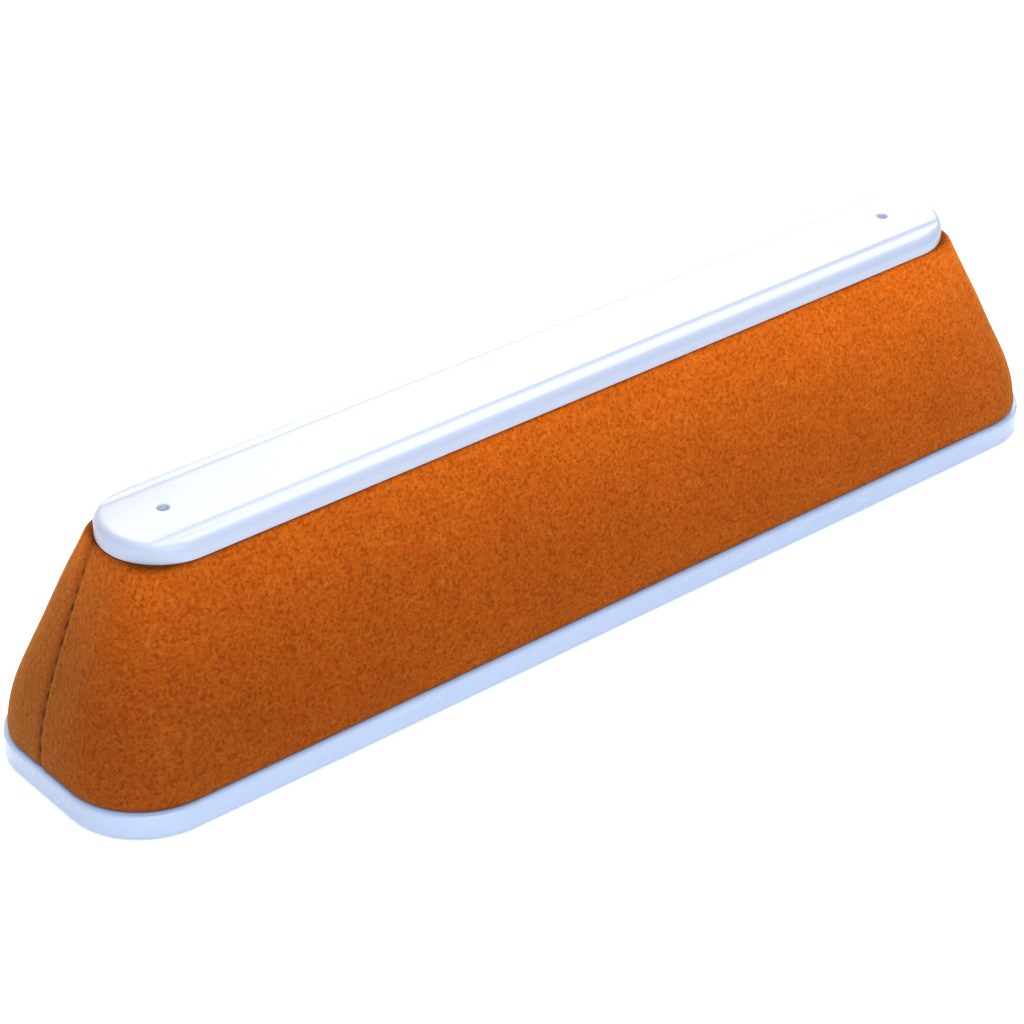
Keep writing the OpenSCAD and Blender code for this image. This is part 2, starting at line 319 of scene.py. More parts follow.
class Recipe:
    """A material in the making: adds shader nodes, sets their sockets and joins them."""

    def __init__(self, name: str) -> None:
        """Starts an empty material with a Principled shader joined to its output.

        Args:
            name: name of the material.
        """
        self.material = bpy.data.materials.new(name)
        self.material.use_nodes = True
        self.tree = self.material.node_tree
        self.tree.nodes.clear()
        self.shader = self.tree.nodes.new("ShaderNodeBsdfPrincipled")
        output = self.tree.nodes.new("ShaderNodeOutputMaterial")
        self.tree.links.new(self.shader.outputs["BSDF"], output.inputs["Surface"])
        self.place = self.tree.nodes.new("ShaderNodeTexCoord").outputs["Object"]

    def feed(self, socket: Socket, value: "Socket | float | Sequence[float]") -> None:
        """Joins a socket to another, or sets its number or colour.

        Args:
            socket: socket to set.
            value: another socket, or a number or colour.
        """
        if isinstance(value, bpy.types.NodeSocket):
            self.tree.links.new(value, socket)
        else:
            socket.default_value = value

    def scaled(self, scale: Sequence[float]) -> Socket:
        """The object's coordinates, stretched by a scale per axis.

        Args:
            scale: factor along each axis.

        Returns:
            The stretched coordinates.
        """
        node = self.tree.nodes.new("ShaderNodeMapping")
        self.feed(node.inputs["Vector"], self.place)
        self.feed(node.inputs["Scale"], scale)
        return node.outputs["Vector"]

    def noise(self, scale: float, detail: float = 2.0, rough: float = 0.5,
              place: "Socket | None" = None) -> Socket:
        """Cloudy noise between 0 and 1.

        Args:
            scale: number of blobs per metre.
            detail: number of finer layers.
            rough: strength of the finer layers.
            place: coordinates, or None for the object's own.

        Returns:
            The noise's value socket.
        """
        node = self.tree.nodes.new("ShaderNodeTexNoise")
        self.feed(node.inputs["Vector"], place or self.place)
        self.feed(node.inputs["Scale"], scale)
        self.feed(node.inputs["Detail"], detail)
        self.feed(node.inputs["Roughness"], rough)
        return node.outputs["Fac"]

    def cells(self, scale: float, place: "Socket | None" = None) -> Socket:
        """Distance to the nearest of scattered points, which makes pores and flecks.

        Args:
            scale: number of cells per metre.
            place: coordinates, or None for the object's own.

        Returns:
            The distance socket.
        """
        node = self.tree.nodes.new("ShaderNodeTexVoronoi")
        self.feed(node.inputs["Vector"], place or self.place)
        self.feed(node.inputs["Scale"], scale)
        return node.outputs["Distance"]

    def mask(self, name: str) -> Socket:
        """A number kept on the piece's points.

        Args:
            name: name of the attribute.

        Returns:
            The number's socket.
        """
        node = self.tree.nodes.new("ShaderNodeAttribute")
        node.attribute_name = name
        return node.outputs["Fac"]

    def spread(self, value: Socket, low: float, high: float, to_low: float = 0.0,
               to_high: float = 1.0) -> Socket:
        """Stretches the stretch low..high of a value to to_low..to_high and holds the ends.

        Args:
            value: value to stretch.
            low: value that becomes to_low.
            high: value that becomes to_high.
            to_low: result at and below low.
            to_high: result at and above high.

        Returns:
            The stretched value.
        """
        node = self.tree.nodes.new("ShaderNodeMapRange")
        node.interpolation_type = "SMOOTHSTEP"
        self.feed(node.inputs["Value"], value)
        for socket, number in zip(node.inputs[1:5], (low, high, to_low, to_high)):
            socket.default_value = number
        return node.outputs["Result"]

    def math(self, kind: str, first: "Socket | float", second: "Socket | float") -> Socket:
        """Joins two values with an operation, such as ADD or MULTIPLY.

        Args:
            kind: name of the operation.
            first: first value.
            second: second value.

        Returns:
            The result.
        """
        node = self.tree.nodes.new("ShaderNodeMath")
        node.operation = kind
        self.feed(node.inputs[0], first)
        self.feed(node.inputs[1], second)
        return node.outputs["Value"]

    def blend(self, share: "Socket | float", first: "Socket | Sequence[float]",
              second: "Socket | Sequence[float]", kind: str = "MIX") -> Socket:
        """Mixes two colours by a share of the second, or multiplies them.

        Args:
            share: share of the second colour, from 0 to 1.
            first: first colour.
            second: second colour.
            kind: way of blending, MIX or MULTIPLY.

        Returns:
            The blended colour.
        """
        node = self.tree.nodes.new("ShaderNodeMix")
        node.data_type = "RGBA"
        node.blend_type = kind
        self.feed(node.inputs["Factor"], share)
        for socket, colour in ((node.inputs[6], first), (node.inputs[7], second)):
            self.feed(socket, colour if isinstance(colour, bpy.types.NodeSocket) else (*colour, 1.0))
        return node.outputs[2]

    def bump(self, height: Socket, depth: float, below: "Socket | None" = None) -> Socket:
        """Small relief.

        Args:
            height: relief between 0 and 1.
            depth: real depth of the relief in metres.
            below: another relief that this one lies on.

        Returns:
            The relief's normal socket.
        """
        node = self.tree.nodes.new("ShaderNodeBump")
        self.feed(node.inputs["Height"], height)
        self.feed(node.inputs["Distance"], depth)
        if below is not None:
            self.feed(node.inputs["Normal"], below)
        return node.outputs["Normal"]

    def finish(self, colour: "Socket | Sequence[float]", rough: "Socket | float",
               relief: "Socket | None" = None, **sockets: "float | Sequence[float]") -> Material:
        """Sets the shader and gives the material.

        Args:
            colour: base colour.
            rough: roughness.
            relief: normal socket of the finest relief.
            sockets: other sockets of the shader, with underscores for spaces.

        Returns:
            The finished material.
        """
        inputs = self.shader.inputs
        self.feed(inputs["Base Color"],
                  colour if isinstance(colour, bpy.types.NodeSocket) else (*colour, 1.0))
        self.feed(inputs["Roughness"], rough)
        if relief is not None:
            self.feed(inputs["Normal"], relief)
        for name, value in sockets.items():
            inputs[name.replace("_", " ")].default_value = value
        return self.material


@dataclass(frozen=True)
class MouldedPlastic:
    """White injection-moulded plastic with faint scuffs, and grey painted shade in its hollows."""

    name: str
    colour: Colour
    roughness: float
    # Grey of the painted shade in the grooves, the pin holes and the pocket.
    painted_hollow_shade: Colour = (0.36, 0.37, 0.38)

    def material(self) -> Material:
        """Builds the finish: cloudy tint, hair-fine scuffs, soft ripple, and painted shade by the hollow
        mask.

        Returns:
            The finished material.
        """
        recipe = Recipe(self.name)
        cloud = recipe.spread(recipe.noise(35.0, 3.0), 0.35, 0.7)
        tinted = recipe.blend(recipe.math("MULTIPLY", cloud, 0.35), self.colour,
                              tuple(0.95 * part for part in self.colour))
        # Painted shade: the hollow mask, broken into patches, darkens the grooves, the pin holes and the
        # pocket towards grey.
        hollow = recipe.mask("hollow")
        patchy_hollow_shade = recipe.math("MULTIPLY", hollow, recipe.spread(recipe.noise(260.0, 4.0), 0.2, 0.7, 0.4, 0.9))
        colour = recipe.blend(patchy_hollow_shade, tinted, self.painted_hollow_shade)
        scuffs = recipe.noise(60.0, 5.0, 0.7, recipe.scaled((0.5, 3.0, 3.0)))
        rough = recipe.spread(scuffs, 0.35, 0.75, self.roughness, self.roughness + 0.05)
        ripple = recipe.bump(recipe.noise(140.0, 2.0), 0.02 * MM)
        relief = recipe.bump(scuffs, 0.0015 * MM, ripple)
        return recipe.finish(colour, rough, relief, IOR=1.46)


@dataclass(frozen=True)
class BrushedCloth:
    """Short-napped orange cloth: mottled flecks, patches of turned nap, and a soft sheen.

    The mask of painted light makes the cloth lighter towards the top and towards the right, standing in for
    how light falls on it, and the mask of painted sheen lays a pale tan sheen on both ends. Both are fitted
    by measure. The crease mask paints shade in the seam and where the plates press.
    """

    name: str = "orange_cloth_nap"
    dark: Colour = (0.21, 0.025, 0.0010)
    middle: Colour = (0.455, 0.066, 0.0018)
    light: Colour = (0.60, 0.135, 0.011)
    # Range of the painted light, from its darkest to its lightest factor.
    painted_light_low: float = 0.65
    painted_light_high: float = 1.85
    # Pale tan of the painted sheen on the ends.
    painted_sheen: Colour = (0.45, 0.42, 0.16)
    sheen: tuple[float, float, float, float] = (1.0, 0.40, 0.06, 1.0)

    def material(self) -> Material:
        """Builds the finish: light curls, flecks and dark gaps in the nap, lighter by the mask of painted
        light, paler by the painted sheen on the ends, and darker by the painted shade in the creases.

        The curls lie where a cloudy noise is close to its middle value, which leaves short
        winding strokes.

        Returns:
            The finished material.
        """
        recipe = Recipe(self.name)
        cloud = recipe.noise(560.0, 1.5, 0.6)
        off_middle = recipe.math("ABSOLUTE", recipe.math("SUBTRACT", cloud, 0.5), 0.0)
        curl = recipe.spread(off_middle, 0.0, 0.1, 1.0, 0.0)
        fleck = recipe.spread(recipe.noise(800.0, 1.0, 0.5), 0.56, 0.7)
        gap = recipe.spread(recipe.noise(1050.0, 1.0, 0.5), 0.32, 0.48, 1.0, 0.0)
        nap = recipe.blend(recipe.math("MULTIPLY", curl, 0.4), self.middle, self.light)
        nap = recipe.blend(recipe.math("MULTIPLY", fleck, 0.45), nap, self.light)
        nap = recipe.blend(recipe.math("MULTIPLY", gap, 0.5), nap, self.dark)
        turned = recipe.spread(recipe.noise(60.0, 2.0, 0.5), 0.35, 0.65, 0.0, 0.10)
        nap = recipe.blend(turned, nap, self.dark)
        # Painted light: the nap is made lighter towards the top and towards the right.
        painted_light = recipe.blend(recipe.mask("painted_light"), 3 * (self.painted_light_low,), 3 * (self.painted_light_high,))
        nap = recipe.blend(1.0, nap, painted_light, "MULTIPLY")
        # Painted sheen: a pale tan laid over the nap on both ends.
        nap = recipe.blend(recipe.mask("painted_sheen"), nap, self.painted_sheen)
        # Painted shade in the seam and where the plates press on the cloth.
        colour = recipe.blend(recipe.mask("crease"), nap, tuple(0.3 * part for part in self.dark))
        tufts = recipe.math("SUBTRACT", curl, gap)
        broad = recipe.bump(recipe.noise(160.0, 2.0), 0.10 * MM)
        relief = recipe.bump(tufts, 0.10 * MM, broad)
        return recipe.finish(colour, 0.92, relief, Sheen_Weight=0.3, Sheen_Roughness=0.45,
                             Sheen_Tint=self.sheen, Specular_IOR_Level=0.05)


@dataclass(frozen=True)
class TwistedThread:
    """Brown sewing thread with the slant of its ply."""

    name: str = "seam_thread_ply"
    colour: Colour = (0.15, 0.032, 0.006)

    def material(self) -> Material:
        """Builds the finish: slanting ply bands over fine fuzz.

        Returns:
            The finished material.
        """
        recipe = Recipe(self.name)
        ply = recipe.noise(2600.0, 1.0, 0.4, recipe.scaled((1.0, 0.6, 2.0)))
        colour = recipe.blend(recipe.spread(ply, 0.35, 0.65), tuple(0.6 * part for part in self.colour),
                              self.colour)
        return recipe.finish(colour, 0.7, recipe.bump(ply, 0.08 * MM), Specular_IOR_Level=0.1)


@dataclass(frozen=True)
class PressedFelt:
    """Grey wool felt: matted fibres in two tones, with chalk dust rubbed into it."""

    name: str = "grey_wool_felt"
    dark: Colour = (0.10, 0.10, 0.105)
    light: Colour = (0.30, 0.30, 0.30)
    chalk: Colour = (0.72, 0.72, 0.70)

    def material(self) -> Material:
        """Builds the finish: stretched fibre noise both ways, and long faint strokes of chalk.

        Returns:
            The finished material.
        """
        recipe = Recipe(self.name)
        along = recipe.noise(700.0, 5.0, 0.75, recipe.scaled((0.35, 1.6, 1.0)))
        across = recipe.noise(650.0, 5.0, 0.75, recipe.scaled((1.6, 0.4, 1.0)))
        fibres = recipe.math("MAXIMUM", along, across)
        wool = recipe.blend(recipe.spread(fibres, 0.45, 0.72), self.dark, self.light)
        strokes = recipe.noise(26.0, 5.0, 0.6, recipe.scaled((0.5, 3.0, 1.0)))
        dust = recipe.math("MULTIPLY", recipe.spread(strokes, 0.48, 0.75), recipe.spread(fibres, 0.45, 0.7))
        colour = recipe.blend(recipe.math("MULTIPLY", dust, 0.5), wool, self.chalk)
        return recipe.finish(colour, 0.95, recipe.bump(fibres, 0.35 * MM), Sheen_Weight=0.25,
                             Sheen_Roughness=0.6)


@dataclass(frozen=True)
class OpenFoam:
    """Cream upholstery foam with open cells."""

    name: str = "cream_open_foam"
    wall: Colour = (0.78, 0.68, 0.42)
    pore: Colour = (0.40, 0.31, 0.14)

    def material(self) -> Material:
        """Builds the finish: dark pores between pale cell walls.

        Returns:
            The finished material.
        """
        recipe = Recipe(self.name)
        cells = recipe.cells(1300.0)
        open_cell = recipe.spread(cells, 0.15, 0.6)
        cloud = recipe.spread(recipe.noise(40.0), 0.3, 0.7, 0.0, 0.2)
        colour = recipe.blend(cloud, recipe.blend(open_cell, self.pore, self.wall), self.pore)
        return recipe.finish(colour, 0.9, recipe.bump(open_cell, 0.3 * MM))


@dataclass(frozen=True)
class SoftWood:
    """Planed softwood, with growth rings that run along the block."""

    name: str = "planed_softwood"
    early: Colour = (0.66, 0.46, 0.25)
    late: Colour = (0.42, 0.23, 0.09)

    def material(self) -> Material:
        """Builds the finish: wandering rings round an axis along X, and fine pores.

        Returns:
            The finished material.
        """
        recipe = Recipe(self.name)
        wander = recipe.noise(9.0, 2.0, 0.5, recipe.scaled((0.15, 1.0, 1.0)))
        rings = recipe.tree.nodes.new("ShaderNodeTexWave")
        rings.wave_type = "RINGS"
        rings.rings_direction = "X"
        recipe.feed(rings.inputs["Vector"], recipe.scaled((0.3, 1.0, 1.4)))
        recipe.feed(rings.inputs["Scale"], 60.0)
        recipe.feed(rings.inputs["Distortion"], 6.0)
        recipe.feed(rings.inputs["Detail Scale"], 1.5)
        grain = recipe.math("ADD", rings.outputs["Fac"], recipe.math("MULTIPLY", wander, 0.4))
        pores = recipe.noise(900.0, 4.0, 0.6, recipe.scaled((0.06, 1.0, 1.0)))
        wood = recipe.blend(recipe.spread(grain, 0.3, 1.2), self.early, self.late)
        colour = recipe.blend(recipe.spread(pores, 0.55, 0.75, 0.0, 0.4), wood, self.late)
        return recipe.finish(colour, 0.62, recipe.bump(pores, 0.06 * MM))


@dataclass(frozen=True)
class WornSteel:
    """Bare or plated steel with drawn streaks and dull spots."""

    name: str
    colour: Colour
    roughness: float
    streaks: Colour = (1.0, 1.0, 1.0)

    def material(self) -> Material:
        """Builds the finish: streaked roughness with dull, slightly browner spots.

        Returns:
            The finished material.
        """
        recipe = Recipe(self.name)
        drawn = recipe.noise(900.0, 4.0, 0.6, recipe.scaled(self.streaks))
        spots = recipe.spread(recipe.noise(520.0, 3.0), 0.55, 0.72, 0.0, 0.6)
        rust = (0.6 * self.colour[0], 0.5 * self.colour[1], 0.4 * self.colour[2])
        rough = recipe.spread(drawn, 0.3, 0.7, self.roughness, self.roughness + 0.22)
        return recipe.finish(recipe.blend(spots, self.colour, rust), rough,
                             recipe.bump(drawn, 0.02 * MM), Metallic=1.0)


@dataclass(frozen=True)
class AdhesiveFilm:
    """Pale, slightly cloudy adhesive film."""

    name: str = "pale_adhesive_film"
    colour: Colour = (0.80, 0.76, 0.58)

    def material(self) -> Material:
        """Builds the finish: cloudy tint with trapped bubbles.

        Returns:
            The finished material.
        """
        recipe = Recipe(self.name)
        bubbles = recipe.spread(recipe.cells(420.0), 0.05, 0.25)
        cloud = recipe.spread(recipe.noise(60.0, 3.0), 0.35, 0.65, 0.0, 0.3)
        colour = recipe.blend(cloud, self.colour, tuple(0.8 * part for part in self.colour))
        return recipe.finish(colour, 0.35, recipe.bump(bubbles, 0.05 * MM))


# ---- grip plate ----


@dataclass
class GripPlate:
    """Narrow crowned plate with half-round ends, two finger grooves and two sunk pin holes."""

    edge_r: float = 2 * MM
    crown: float = 1.5 * MM
    under_r: float = 0.5 * MM
    groove_y: float = 10.9 * MM
    groove_w: float = 2.8 * MM
    groove_depth: float = 0.3 * MM
    hole_r: float = 1.4 * MM
    pin_head_r: float = 1.3 * MM
    pin_head_h: float = 0.9 * MM

    def __post_init__(self) -> None:
        """Takes the plate's box and the pins' places from the frame."""
        box = NodeBox.of(Node.GRIP_PLATE)
        pins = NodeBox.of(Node.GRIP_PINS)
        self.half = box.half
        self.bottom, self.top = box.low.z, box.high.z
        self.end_x = self.half[0] - self.half[1]
        self.pin_x = pins.high.x - self.pin_head_r
        self.hole_depth = self.top - pins.high.z + self.pin_head_h
        self.crown_r = (self.half[1] ** 2 + self.crown**2) / (2 * self.crown)
        self.groove_r = ((self.groove_w / 2) ** 2 + self.groove_depth**2) / (2 * self.groove_depth)

    def near_hole(self) -> Array:
        """Distances from a hole's middle at which grid lines run, the wall's two lines among them."""
        rings = np.array([0.35, 0.7, 0.995, 1.005, 1.1, 1.4, 1.9, 2.5]) * self.hole_r
        return np.concatenate([-rings[::-1], [0.0], rings])

    def rows(self) -> Array:
        """Places of the grid's rows across the plate: close together in grooves and edges.

        Returns:
            Places along Y, from front to back.
        """
        groove = self.groove_y + np.linspace(-1.1, 1.1, 15) * self.groove_w / 2
        roll = self.half[1] - self.edge_r * (1 - np.sin(np.linspace(0, math.pi / 2, 10)))
        inner = np.linspace(self.near_hole()[-1], groove[0], 9)[1:-1]
        outer = np.linspace(groove[-1], roll[0], 6)[1:-1]
        side = np.concatenate([inner, groove, outer, roll])
        return np.concatenate([-side[::-1], self.near_hole(), side])

    def columns(self) -> Array:
        """Places of the grid's columns along the middle row: close together at the ends.

        Returns:
            Places along X, from left to right.
        """
        near = self.near_hole()
        start, stop = self.pin_x + near[-1], self.half[0] - self.edge_r
        roll = self.half[0] - self.edge_r * (1 - np.sin(np.linspace(0, math.pi / 2, 10)))
        cap = np.linspace(start, stop, 16)[1:-1]
        straight = np.linspace(0, self.pin_x + near[0], 30)[1:-1]
        side = np.concatenate([straight, self.pin_x + near, cap, roll])
        return np.concatenate([-side[::-1], [0.0], side])

    def groove_cut(self, y: Array) -> Array:
        """Depth of the grooves, whose cross-section is an arc of a circle.

        Args:
            y: places across the plate.

        Returns:
            One depth per place.
        """
        aside = np.abs(np.abs(y) - self.groove_y)
        arc = np.sqrt(np.clip(self.groove_r**2 - aside**2, 0.0, None))
        return np.clip(arc - self.groove_r + self.groove_depth, 0.0, None)

    def drop(self, y: Array) -> Array:
        """How far the crowned top lies below its middle line, which is an arc of a circle."""
        return self.crown_r - np.sqrt(self.crown_r**2 - y**2)

    def top_face(self) -> tuple[Array, Array]:
        """Upper face as a grid, with a mask of its hollows.

        Each row runs from one end of the outline to the other, so a column slides with the
        row's length. The height is the plate's top, less the crown's drop and less the larger
        of the edge's roll and the groove's cut. Round each hole the square grid lines are bent
        into circles.

        Returns:
            The points, in rows and columns, and a number from 0 to 1 for each point.
        """
        y = self.rows()
        reach = self.end_x + np.sqrt(np.clip(self.half[1] ** 2 - y**2, 0.0, None))
        x = self.columns()[None, :] * (reach / self.half[0])[:, None]
        y = np.broadcast_to(y[:, None], x.shape)
        beyond = np.clip(np.abs(x) - self.end_x, 0.0, None)
        inside = self.half[1] - np.hypot(beyond, y)
        cut = np.maximum(roll_in(inside, self.edge_r), self.groove_cut(y))
        # Mask of painted shade in the grooves, deepest at their middles.
        hollow = 0.2 * self.groove_cut(y) / self.groove_depth
        points = np.stack([x, y, self.top - self.drop(y) - cut], axis=-1)
        near = self.near_hole()
        first_row = np.searchsorted(self.rows(), near[0] - TINY)
        rows = slice(first_row, first_row + len(near))
        for side in (-1, 1):
            first = np.searchsorted(self.columns(), side * self.pin_x + near[0] - TINY)
            patch = (rows, slice(first, first + len(near)))
            self.sink_hole(points[patch], hollow[patch], side)
        return points, hollow

    def sink_hole(self, patch: Array, hollow: Array, side: int) -> None:
        """Bends a square patch of the grid into a round hole, in place.

        Args:
            patch: points of the patch, whose middle is the hole's middle.
            hollow: mask of the same points.
            side: -1 for the left hole and 1 for the right one.
        """
        u, v = np.meshgrid(self.near_hole(), self.near_hole())
        ring = np.maximum(np.abs(u), np.abs(v))
        scale = ring / np.maximum(np.hypot(u, v), TINY)
        round_x = side * self.pin_x + u * scale
        round_y = v * scale
        free = smooth_step((ring / self.hole_r - 1.4) / 1.1)
        patch[..., 0] = free * patch[..., 0] + (1 - free) * round_x
        patch[..., 1] = free * patch[..., 1] + (1 - free) * round_y
        wall = np.array([0.997, 1.004, 1.1]) * self.hole_r
        patch[..., 2] -= np.interp(ring, wall, [self.hole_depth, 0.12 * MM, 0.0])
        # Painted shade on the hole's wall.
        hollow[...] = np.maximum(hollow, np.interp(ring, wall[:2], [0.8, 0.0]))

    def wall(self, rim: Array) -> Array:
        """Side of the plate below its upper face: straight down, then rolled under.

        Args:
            rim: the upper face's boundary, counter-clockwise seen from above.

        Returns:
            Rows of points from the lowest row up to just below the rim.
        """
        core_x = np.clip(rim[:, 0], -self.end_x, self.end_x)
        out = rim[:, :2] - np.stack([core_x, np.zeros_like(core_x)], axis=-1)
        out /= np.linalg.norm(out, axis=1, keepdims=True)
        turn = np.linspace(0, math.pi / 2, 6)
        drawn = self.under_r * (1 - np.sin(turn))
        low = self.bottom + self.under_r * (1 - np.cos(turn))
        rise = np.array([0.3, 0.6, 0.85])[:, None] * (rim[:, 2] - low[-1])[None, :] + low[-1]
        heights = np.concatenate([np.broadcast_to(low[:, None], (6, len(rim))), rise])
        drawn = np.concatenate([drawn, np.zeros(3)])
        flat = rim[None, :, :2] - drawn[:, None, None] * out[None]
        return np.concatenate([flat, heights[..., None]], axis=-1)

    def build(self, finish: Material) -> Object:
        """Joins the upper face, the wall and the flat underside into one closed piece.

        Args:
            finish: the piece's material.

        Returns:
            The finished piece.
        """
        face, hollow = self.top_face()
        rows, columns = face.shape[:2]
        number = np.arange(rows * columns).reshape(rows, columns)
        rim = np.concatenate([number[0, :-1], number[:-1, -1], number[-1, :0:-1], number[:0:-1, 0]])
        wall = self.wall(face.reshape(-1, 3)[rim])
        levels, around = wall.shape[:2]
        wall_number = rows * columns + np.arange(levels * around).reshape(levels, around)
        stacked = np.concatenate([wall_number, rim[None]])
        sides = stacked.ravel()[grid_quads(levels + 1, around, False, True)]
        points = np.concatenate([face.reshape(-1, 3), wall.reshape(-1, 3)])
        underside = wall_number[0, ::-1][None]
        piece = new_object("grip_plate_moulding", points,
                           [grid_quads(rows, columns, False, False), sides, underside])
        store_mask(piece, "hollow", np.concatenate([hollow.ravel(), np.zeros(levels * around)]))
        return settle(piece, Slot.GRIP_PLASTIC, finish, Node.GRIP_PLATE)


# ---- base plate and felt pad ----


@dataclass
class BasePlate:
    """Wide bottom plate with rounded edges and a shallow pocket underneath for the pad."""

    corner_r: float = 20 * MM
    edge_r: float = 0.8 * MM
    rim_w: float = 2 * MM
    lip_r: float = 0.3 * MM
    land_w: float = 6 * MM

    def profile(self, bottom: float, top: float, roof: float) -> Array:
        """Cross-section as distances in from the edge and heights, from the pocket to the top.

        Args:
            bottom: z of the rim's underside.
            top: z of the upper face.
            roof: z of the pocket's roof.

        Returns:
            One row for each point: distance in from the edge, and z.
        """
        turn = np.linspace(0, math.pi / 2, 9)
        lip = np.stack([self.rim_w - self.lip_r * (1 - np.cos(turn)),
                        bottom + self.lip_r * (1 - np.sin(turn))], axis=-1)
        under = np.stack([self.edge_r * (1 - np.sin(turn)),
                          bottom + self.edge_r * (1 - np.cos(turn))], axis=-1)
        over = np.stack([self.edge_r * (1 - np.cos(turn)),
                         top - self.edge_r * (1 - np.sin(turn))], axis=-1)
        pocket = np.array([[self.land_w, roof], [self.rim_w, roof]])
        inner = np.array([[self.land_w, top]])
        return np.concatenate([pocket, lip, under, over, inner])

    def build(self, finish: Material) -> Object:
        """Carries the cross-section round the outline and closes both flat middles.

        Args:
            finish: the piece's material.

        Returns:
            The finished piece.
        """
        box = NodeBox.of(Node.BASE_PLATE)
        roof = NodeBox.of(Node.ADHESIVE).high.z
        profile = self.profile(box.low.z, box.high.z, roof)
        stations = even_stations([4, 24, 60, 24, 8, 24, 60, 24, 4])
        half = box.half[None, :] - profile[:, :1]
        rings = rounded_rings(stations, half, self.corner_r - profile[:, 0], profile[:, 1])
        piece = new_object("base_plate_moulding", rings, stack_faces(rings))
        in_pocket = (profile[:, 0] >= self.rim_w - self.lip_r) & (profile[:, 1] < roof + 1e-6)
        # Mask of painted shade in the pocket.
        store_mask(piece, "hollow", np.repeat(0.6 * in_pocket.astype(float), rings.shape[1]))
        return settle(piece, Slot.BASE_PLASTIC, finish, Node.BASE_PLATE)


@dataclass
class FeltPad:
    """Flat felt pad in the base plate's pocket, with a soft cut edge."""

    corner_r: float = 17.8 * MM
    edge_r: float = 0.5 * MM
    ripple: float = 0.06 * MM

    def build(self, finish: Material) -> Object:
        """Stacks outlines from the worn underside to the glued upper face.

        The edge wavers by sums of sines round the outline, as a die-cut felt edge does.

        Args:
            finish: the piece's material.

        Returns:
            The finished piece.
        """
        box = NodeBox.of(Node.PAD)
        turn = np.linspace(0, math.pi / 2, 5)
        under = self.edge_r * (1 - np.sin(turn))
        low = box.low.z + self.edge_r * (1 - np.cos(turn))
        drawn = np.concatenate([[8 * MM, 3 * MM, 1.2 * MM], under, [0.0, 0.0, 0.15 * MM, 6 * MM]])
        height = np.concatenate([[box.low.z] * 3, low, box.low.z + np.array([1.2, 2.0]) * MM,
                                 [box.high.z, box.high.z]])
        stations = even_stations([16, 30, 200, 30, 32, 30, 200, 30, 16])
        rings = rounded_rings(stations, box.half[None, :] - drawn[:, None],
                              self.corner_r - drawn, height)
        _, facing = outline_frame(stations)
        waver = sum(np.sin(stations * k * 2 * math.pi / 9 + k) for k in (61, 97, 143)) / 3
        on_edge = (drawn < 1 * MM)[:, None, None]
        rings[..., :2] -= on_edge * (self.ripple * (1 + waver))[None, :, None] * facing[None]
        piece = settle(new_object("felt_wiping_pad", rings, stack_faces(rings)), Slot.FELT, finish, Node.PAD)
        return piece


# ---- padded body ----


@dataclass
class BodyShape:
    """Outline of the padded body at every height: an upright, rounded foot and a straight slope."""

    foot_inset: float = 0.5 * MM
    top_inset: float = 0.3 * MM
    foot_corner_r: float = 20.5 * MM
    top_corner_r: float = 9.3 * MM
    knee: float = 0.16
    knee_softness: float = 0.145
    foot_roll_r: float = 2 * MM
    top_roll_r: float = 1.2 * MM

    def __post_init__(self) -> None:
        """Takes the body's heights and the plates' outlines from the frame."""
        cloth = NodeBox.of(Node.CLOTH)
        self.bottom, self.height = cloth.low.z, cloth.high.z - cloth.low.z
        self.foot_half = NodeBox.of(Node.BASE_PLATE).half - self.foot_inset
        self.top_half = NodeBox.of(Node.GRIP_PLATE).half - self.top_inset

    def slope(self, share: Array) -> Array:
        """Share of the way from the foot's outline to the top's, at a share of the height.

        It is half of (t plus the root of t squared plus softness squared), where t is the
        share less the knee, stretched so that it runs from 0 to 1.

        Args:
            share: share of the body's height.

        Returns:
            The share of the way, from 0 to 1.
        """
        def ramp(t: "Array | float") -> "Array | float":
            """Soft-cornered ramp that starts to rise at the knee."""
            return (t - self.knee + np.sqrt((t - self.knee) ** 2 + self.knee_softness**2)) / 2

        return (ramp(share) - ramp(0.0)) / (ramp(1.0) - ramp(0.0))

    def sizes(self, rise: Array, inset: float) -> tuple[Array, Array]:
        """Half sizes and corner radii of the outlines at many heights.

        Args:
            rise: heights above the body's foot.
            inset: distance inside the cloth's outer surface.

        Returns:
            Half length and half width of each outline, and its corner radius.
        """
        share = self.slope(rise / self.height)
        drawn = inset + roll_in(rise, self.foot_roll_r) + roll_in(self.height - rise, self.top_roll_r)
        half = self.foot_half + share[:, None] * (self.top_half - self.foot_half) - drawn[:, None]
        return half, self.foot_corner_r + share * (self.top_corner_r - self.foot_corner_r) - drawn

    def rings(self, stations: Array, rise: Array, inset: float) -> Array:
        """Outlines of the body at many heights, one row of points each."""
        half, radius = self.sizes(rise, inset)
        return rounded_rings(stations, half, radius, self.bottom + rise)


@dataclass
class WoodCore:
    """Tapered wooden block: half sizes of its foot, its top and the heights between the laps."""

    padding: float = 4 * MM
    cloth: float = 1.2 * MM
    top_lap: float = 5 * MM
    foot_lap: float = 8 * MM

    def __post_init__(self) -> None:
        """Takes the foot's size from the frame and the top's from the grip plate's outline."""
        self.foot_half = NodeBox.of(Node.CORE).half
        self.top_half = BodyShape().top_half - self.cloth - self.padding

    def half(self, share: Array) -> Array:
        """Half length and half width at a share of the way from the lower lap to the upper one."""
        return self.foot_half + share[:, None] * (self.top_half - self.foot_half)


